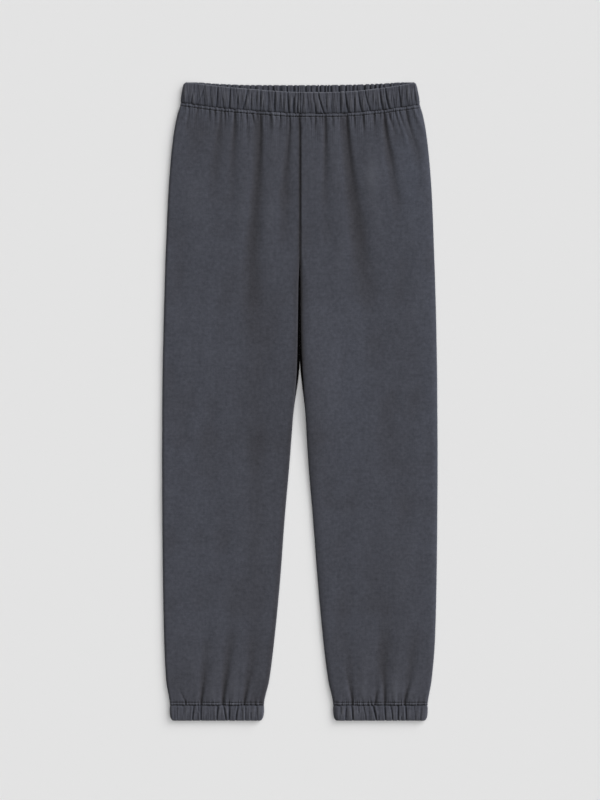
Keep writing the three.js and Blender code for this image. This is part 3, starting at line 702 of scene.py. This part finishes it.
# Creases across the front of the waistband, from its top edge to its seam.
bandCreases = columns("edge seam depth width start end", [
    [-164, -169, 1.3, 1.3, 0, 1], [-148, -159, 1.3, 1.4, 0, 1], [-138, -139, 0.8, 1.1, 0, 0.45],
    [-127.5, -129.5, 2.2, 1.4, 0, 1], [-119, -118.7, 0.9, 1.1, 0.5, 1], [-108, -110, 2.6, 1.6, 0, 1],
    [-99, -99, 1.0, 1.1, 0, 0.4], [-95.5, -98, 2.0, 1.3, 0.35, 1], [-81.5, -88.5, 2.1, 1.5, 0, 1],
    [-75, -75.5, 1.3, 1.2, 0.1, 1], [-61.3, -62, 2.1, 1.4, 0, 1], [-56, -58, 0.9, 1.1, 0.4, 1],
    [-49, -50.5, 1.4, 1.2, 0, 1], [-39, -39, 2.1, 1.4, 0, 1], [-25.6, -25.6, 1.4, 1.2, 0, 1],
    [-19, -17.4, 2.0, 1.3, 0, 1], [-12, -12.5, 0.7, 1.0, 0, 0.4], [-9.6, -10, 2.5, 1.4, 0.15, 1],
    [-3.3, -3.6, 1.8, 1.2, 0, 1], [10.5, 10.5, 1.0, 1.2, 0, 0.5], [20, 25, 1.4, 1.3, 0, 1],
    [28.7, 37, 2.1, 1.4, 0, 1], [41, 41.5, 0.9, 1.1, 0.55, 1], [50, 50, 0.7, 1.8, 0, 1],
    [62, 63, 2.0, 1.4, 0, 1], [70, 75, 2.0, 1.4, 0, 1], [84.5, 84.5, 1.4, 1.2, 0.2, 1],
    [90, 95.5, 2.0, 1.4, 0, 1], [101, 108.6, 1.5, 1.3, 0, 1], [116.5, 117, 1.1, 1.1, 0.5, 1],
    [123.4, 128, 2.5, 1.5, 0, 1], [132, 138, 2.5, 1.5, 0, 1], [143.5, 146.6, 1.0, 1.1, 0.4, 1],
    [153, 156.7, 1.4, 1.3, 0, 1], [159.5, 161, -0.5, 1.6, 0, 1], [176, 180, 1.3, 1.5, 0, 1],
])

# The same at the inside of the back of the waistband, which shows above the front.
backBandCreases = columns("edge seam depth width start end", [
    [-158, -160, 1, 1.7, 0, 1], [-146, -147, 1.4, 1.7, 0, 1], [-137, -138, 1, 1.6, 0, 1],
    [-124, -125, 1.6, 1.9, 0, 1], [-113, -112, 1.1, 1.6, 0, 1], [-106, -107, 1.5, 1.7, 0, 1],
    [-94, -95, 1.7, 1.9, 0, 1], [-86, -86, 1.1, 1.6, 0, 1], [-77, -78, 1.6, 1.7, 0, 1],
    [-69, -68, 1.3, 1.6, 0, 1], [-58, -59, 1.7, 1.9, 0, 1], [-50, -50, 1.1, 1.4, 0, 1],
    [-42, -42, 1.7, 1.9, 0, 1], [-31, -32, 1.3, 1.6, 0, 1], [-20, -20, 1.8, 1.9, 0, 1],
    [-10, -10, 1.6, 1.7, 0, 1], [-3, -3, 1.1, 1.4, 0, 1], [9, 9, 2, 1.9, 0, 1],
    [17, 18, 1, 1.6, 0, 1], [26, 26, 2, 1.7, 0, 1], [31, 31, 2.8, 1.4, 0, 1],
    [39, 39, 1.6, 1.7, 0, 1], [43, 43.5, 2.6, 1.4, 0, 1], [48, 48, 1.9, 1.6, 0, 1],
    [61, 61, 2.8, 2, 0, 1], [71, 71, 1.5, 1.7, 0, 1], [82, 82, 2.4, 1.7, 0, 1],
    [88.5, 88.5, 1.4, 1.6, 0, 1], [100, 100, 2.4, 2.2, 0, 1], [109, 109, 2.2, 1.6, 0, 1],
    [116, 116, 2.4, 1.7, 0, 1], [123, 123, 1.3, 1.6, 0, 1], [130, 130, 2, 1.9, 0, 1],
    [140, 140, 1.5, 1.7, 0, 1], [145, 146, 1.1, 1.4, 0, 1], [156, 157, 1.1, 1.7, 0, 1],
])

# Creases across the cuffs, from the hem to the seam.
cuffCreases = columns("edge seam depth width start end", [
    [-190, -191, 0.7, 1.4, 0, 1], [-181, -180, 0.6, 1.2, 0.3, 1], [-166.5, -164.3, 2.0, 1.4, 0, 1],
    [-155, -158, 1.0, 1.0, 0.45, 1], [-153.5, -153.5, 2.2, 1.4, 0, 1], [-146, -145, 0.7, 1.1, 0, 0.5],
    [-139.3, -139.3, 0.8, 1.2, 0, 1], [-128.8, -127, 2.1, 1.3, 0, 1], [-114.8, -118.7, 1.7, 1.3, 0, 1],
    [-109.9, -109.9, 2.2, 1.4, 0, 1], [-99.5, -96, 2.2, 1.4, 0, 1], [-90, -91, 0.8, 1.1, 0.5, 1],
    [-84.6, -84.6, 1.1, 1.2, 0, 1], [-76, -77, 0.7, 1.2, 0, 0.6], [-66, -67, 0.7, 1.3, 0, 1],
    [64, 63, 0.6, 1.2, 0.3, 1], [70.6, 72, 1.4, 1.2, 0, 1], [82, 80, 2.1, 1.4, 0, 1],
    [92, 90, 0.7, 1.1, 0.4, 1], [102, 98, 0.8, 1.2, 0, 1], [118, 113, 2.4, 1.5, 0, 1],
    [122, 119, 0.9, 1.0, 0, 0.5], [132.4, 131, 1.9, 1.3, 0, 1], [143.5, 140.4, 1.3, 1.2, 0, 1],
    [152, 152, 2.1, 1.3, 0, 1], [157, 157.5, 1.2, 1.1, 0, 0.4], [164.5, 163.4, 2.1, 1.3, 0, 1],
    [178, 177, 0.8, 1.3, 0, 1], [186, 187, 0.6, 1.3, 0, 1],
])


def makeCasing(name, size, face, side, edgeLine, seamLine, outerTable, innerTable, seed):
    # A casing folded over elastic. e is the distance from its folded edge, in an arc over half the
    # wall's thickness and then flat to the seam. Both faces bulge a little between edge and seam,
    # and their creases pull the folded edge into scallops.
    radius = size["wall"] / 2
    tall = abs(edgeLine(np.array(0.0)) - seamLine(np.array(0.0)))
    angles = np.radians(np.linspace(84, 0, 8))
    arc = radius * (1 - np.sin(angles))
    line = spaced(radius, [(tall - 3, 0.85), (tall, 0.4)], 1)
    e = np.concatenate([arc[:-1], line])[:, None]
    share = np.linspace(0, 1, size["columns"] + 1)[None, :]
    rough = baseSurface(face, side, share, edgeLine(0.0) + 0 * e, size["wall"])[0][..., 0]
    height = np.abs(edgeLine(rough) - seamLine(rough))
    e = e + (height - tall) * np.clip((e - 3) / (tall - 3), 0, 1)
    down = np.sign(seamLine(rough) - edgeLine(rough))
    up = edgeLine(rough) + down * e
    outer, inner, outward, level = baseSurface(face, side, share, up, size["wall"])
    x = outer[..., 0]
    along = e / height
    fold = np.where(e < radius, radius - np.sqrt(np.clip(radius ** 2 - (radius - e) ** 2, 0, None)), 0)
    bulge = np.sin(math.pi * np.clip(along, 0, 1)) ** 0.7
    fine = size["fineCreases"] * unevenness(x, up, seed, 7, 60)
    sink = size["seamSink"] * bell(height - e, 1.3)
    outerTop = softLimit(size["gather"] * gathers(outerTable, x, along) + fine, size["deepest"])
    innerTop = softLimit(size["gather"] * gathers(innerTable, x, along) + fine, size["deepest"] * 0.75)
    shown = level ** garment["reliefFade"] * (0.6 + 0.4 * bulge)
    outerTop = outerTop * shown + size["puff"] * bulge - sink
    innerTop = innerTop * shown - sink
    if face == "back":
        outerTop = np.minimum(outerTop, 0) * 0.25
    else:
        innerTop = 0 * innerTop
    edgePull = gathers(innerTable if face == "back" else outerTable, x, 0 * along)
    pull = size["scallop"] if face == "front" else size["backScallop"]
    shift = -down * pull * np.clip(edgePull, -1.5, 1) * smooth(1 - e / 8) * level
    outer[..., 1] += shift
    inner[..., 1] += shift
    # Painted highlight along the folded edge and on ridges, together with wear, and painted shade in the
    # creases.
    paintedLightAndWear = np.clip(0.5 * bell(e - 0.9, 1.2) + 0.35 * outerTop, -1, 1)
    uv = clothUv(outer) + np.array([13.0, 0])
    outer = outer + outward * (outerTop - fold)[..., None]
    inner = inner - outward * (innerTop - fold)[..., None]
    # Painted shade, darker towards the seam.
    paintedShading = -size["seamShade"] * smooth((along - 0.25) / 0.6)
    # On the inner face the creases are painted darker as shade.
    return clothWall(name, outer, inner, outward, uv, dict(paintedLightAndWear=paintedLightAndWear, paintedShading=paintedShading),
                     dict(paintedLightAndWear=np.clip(0.8 * innerTop, -1, 0.3), paintedShading=0.0), [casingKnit], 1)


def mirrored(table):  # the same creases on the other side of the centre line
    return {key: -column if key in ("edge", "seam") else column for key, column in table.items()}


def makeBand(face, side):  # a casing from the waistband's top edge down to its seam
    gap = garment["seamGap"] / 2
    name = "waistband" + face.capitalize() + ("Right" if side < 0 else "Left")
    front = face == "front"
    return makeCasing(
        name, waistband, face, side, lambda x: waistLine(face + "Top", x),
        lambda x: waistLine(face + "Seam", x) + gap,
        bandCreases if front else mirrored(bandCreases),
        bandCreases if front else backBandCreases, 31 if front else 32)


def makeCuff(face, side):  # a casing from the hem up to the cuff seam
    gap = garment["seamGap"] / 2
    name = "cuff" + face.capitalize() + ("Right" if side < 0 else "Left")
    table = cuffCreases if face == "front" else mirrored(cuffCreases)
    return makeCasing(name, cuff, face, side, lambda x: 0.0 * x,
                      lambda x: 0.0 * x + garment["cuffSeam"] - gap, table, cuffCreases, 33)


stitching = dict(pitch=3.1, length=2.5, radius=0.28, sides=6, rings=5,
                 dip=0.25)  # how far a stitch's ends go into the cloth


def surfaceHeight(face, x, up):
    # The height of a leg's outer face at a place in plan, from its section and its relief.
    front = face == "front"
    across = np.abs(x)

    def bySide(read, key):  # a column read on the wearer's right or left, by the side that x is on
        return np.where(x < 0, read(key + "Right", up), read(key + "Left", up))

    sideFold, roll = bySide(edge, "fold"), bySide(edge, "roll")
    side, inner = bySide(section, "side"), bySide(section, "inner")
    side = side - sideFold
    turnEnd = np.where(x < 0, turnAt(face, -1, up), turnAt(face, 1, up))
    turn = np.arcsin(np.clip((across - side) / sideFold, 0, 1))
    turn = turn + np.arcsin(np.clip((inner + roll * np.sin(turnEnd) - across) / roll, 0, 1))
    loft, split = loftAt(x, up)
    drop = (loft * (1 - split if front else split) - garment["seamGap"] / 2) * (1 - np.cos(turn))
    level = np.clip(np.cos(turn), 0, 1)
    relief = (frontRelief if front else backRelief)(x, up) * level ** garment["reliefFade"]
    return loft - drop + relief if front else drop - relief


def makeStitches(name, face, lines):
    # Each stitch is a short thread, round and thin at its ends, that runs along a needle row and
    # arches over the cloth. lines are (from x, to x, function giving up at x).
    facing = 1 if face == "front" else -1
    centres = []
    for start, end, rowUp in lines:
        xs = np.arange(start + stitching["pitch"] / 2, end, stitching["pitch"])
        centres.append(np.stack([xs, rowUp(xs), rowUp(xs + 0.5) - rowUp(xs - 0.5)], -1))
    centres = np.concatenate(centres)
    t = np.linspace(-1, 1, stitching["rings"])
    around = np.arange(stitching["sides"]) * 2 * math.pi / stitching["sides"]
    thick = stitching["radius"] * np.sqrt(1.02 - t ** 2)
    half = stitching["length"] / 2
    x = centres[:, 0, None] + t * half
    up = centres[:, 1, None] + centres[:, 2, None] * t * half
    z = surfaceHeight(face, x, up) - facing * stitching["dip"] * t ** 2
    ringX = x[..., None] + 0 * around
    ringUp = up[..., None] + thick[:, None] * np.cos(around)
    ringZ = z[..., None] + thick[:, None] * np.sin(around) * 0.8
    points = np.stack([ringX, hemY + ringUp, ringZ], -1).reshape(-1, 3)
    ids = np.arange(stitching["rings"] * stitching["sides"]).reshape(stitching["rings"], -1)
    wrapped = np.concatenate([ids, ids[:, :1]], 1)
    body = quads(wrapped)[:, ::-1]  # turned so that they face outwards, as the ends do
    count = len(centres)
    starts = (np.arange(count) * ids.size)[:, None, None]
    faces = (body[None] + starts).reshape(-1, 4).tolist()
    ends = np.stack([ids[0][::-1], ids[-1]])
    faces += (ends[None] + starts).reshape(-1, stitching["sides"]).tolist()
    flat = np.stack([points[:, 0], np.tile(np.repeat(0 * t, stitching["sides"]), count)], -1)
    flat[:, 1] = np.tile(around * stitching["radius"], count * stitching["rings"])
    return placeMesh(name, points, faces, len(faces), flat, {}, [thread], np.zeros(len(faces), int))


pieces = {}
for face in ("front", "back"):
    for side, word in ((-1, "right"), (1, "left")):
        pieces[f"{face}_{word}"] = (makeLeg(face, side), "leg_knit")
        pieces[f"waistband_{face}_{word}"] = (makeBand(face, side), "casing_knit")
        pieces[f"cuff_{face}_{word}"] = (makeCuff(face, side), "casing_knit")
    print(face, "cloth made")

for nodeName, (piece, slot) in pieces.items():
    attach(piece, "root")
    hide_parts(nodeName)

for face in ("front", "back"):
    seam = face + "Seam"
    waist = [(-184, -2, lambda x, d=d: waistLine(seam, x) - d) for d in leg["waistRows"]]
    waist += [(2, 184, lambda x, d=d: waistLine(seam, x) - d) for d in leg["waistRows"]]
    ankle = [(low, high, lambda x, d=d: 0 * x + garment["cuffSeam"] + d)
             for d in leg["cuffRows"] for low, high in ((-200, -58), (54, 196))]
    for name, lines in (("waistStitches", waist), ("cuffStitches", ankle)):
        stitches = makeStitches(name + face.capitalize(), face, lines)
        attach(stitches, "root")
print("stitches made")

# Each piece's name split into its kind and side; nothing further is done with them.
for nodeName, (piece, slot) in pieces.items():
    kind, word = nodeName.rsplit("_", 1)

view = dict(centre=(0.0002, 0.0020), distance=2.929, plane=0.005, lens=85, floorTone=0.80)

floorMesh = bpy.data.meshes.new("floor")
reach = 30.0
floorMesh.from_pydata([(-reach, -reach, -0.0001), (reach, -reach, -0.0001), (reach, reach, -0.0001),
                       (-reach, reach, -0.0001)], [], [(0, 1, 2, 3)])
floor = bpy.data.objects.new("floor", floorMesh)
bpy.context.scene.collection.objects.link(floor)
tone = view["floorTone"]
floorMesh.materials.append(principled("paleFloor", {
    "Base Color": (tone, tone, tone, 1), "Roughness": 0.9, "Specular IOR Level": 0.1})[0])

# Light levels are shares of what makes a level white surface look white. The cloth and the floor
# are lit apart, so that the relief reads while the shadow on the floor stays pale. The key on the
# cloth is a little cool and its fill a little warm.
light = dict(
    level=0.97,
    room=0.10,
    clothKey=dict(share=0.62, azimuth=42, elevation=28, softness=30, tint=(0.98, 0.99, 1.05)),
    clothFill=dict(share=0.28, azimuth=0, elevation=90, softness=150, tint=(1.04, 1.01, 0.94)),
    floorKey=dict(share=0.22, azimuth=46, elevation=30, softness=36, tint=(1, 1, 1)),
    floorFill=dict(share=0.59, azimuth=20, elevation=66, softness=100, tint=(1, 1, 1)),
    floorWash=dict(share=0.08, azimuth=0, elevation=90, softness=0, tint=(1, 1, 1)),
)

world = bpy.data.worlds.new("softRoom")
world.use_nodes = True
world.node_tree.nodes["Background"].inputs["Color"].default_value = (1, 1, 1, 1)
world.node_tree.nodes["Background"].inputs["Strength"].default_value = light["level"] * light["room"]
bpy.context.scene.world = world


def addSun(name, lit):
    # A sun from the given direction, whose energy makes its share of the level on flat ground, and
    # which lights only the objects given. A softness of 0 throws no shadow.
    made = light[name]
    azimuth, elevation = math.radians(made["azimuth"]), math.radians(made["elevation"])
    sun = bpy.data.lights.new(name, "SUN")
    sun.angle = math.radians(made["softness"])
    sun.use_shadow = made["softness"] > 0
    sun.color = made["tint"]
    sun.energy = light["level"] * made["share"] * math.pi / math.sin(elevation)
    held = bpy.data.objects.new(name, sun)
    held.rotation_euler = (math.pi / 2 - elevation, 0, azimuth + math.pi / 2)
    bpy.context.scene.collection.objects.link(held)
    receivers = bpy.data.collections.new(name + "Lit")
    for thing in lit:
        receivers.objects.link(thing)
    held.light_linking.receiver_collection = receivers


objects = bpy.context.scene.collection.objects
cloth = [thing for thing in objects if thing.type == "MESH" and thing != floor]
addSun("clothKey", cloth)
addSun("clothFill", cloth)
addSun("floorKey", [floor])
addSun("floorFill", [floor])
addSun("floorWash", [floor])

camera = bpy.data.objects.new("camera", bpy.data.cameras.new("camera"))
camera.data.lens = view["lens"]
camera.data.sensor_width = 36
camera.location = (*view["centre"], view["distance"] + view["plane"])
bpy.context.scene.collection.objects.link(camera)
bpy.context.scene.camera = camera
bpy.context.scene.view_settings.view_transform = "Standard"
print("light and camera set")
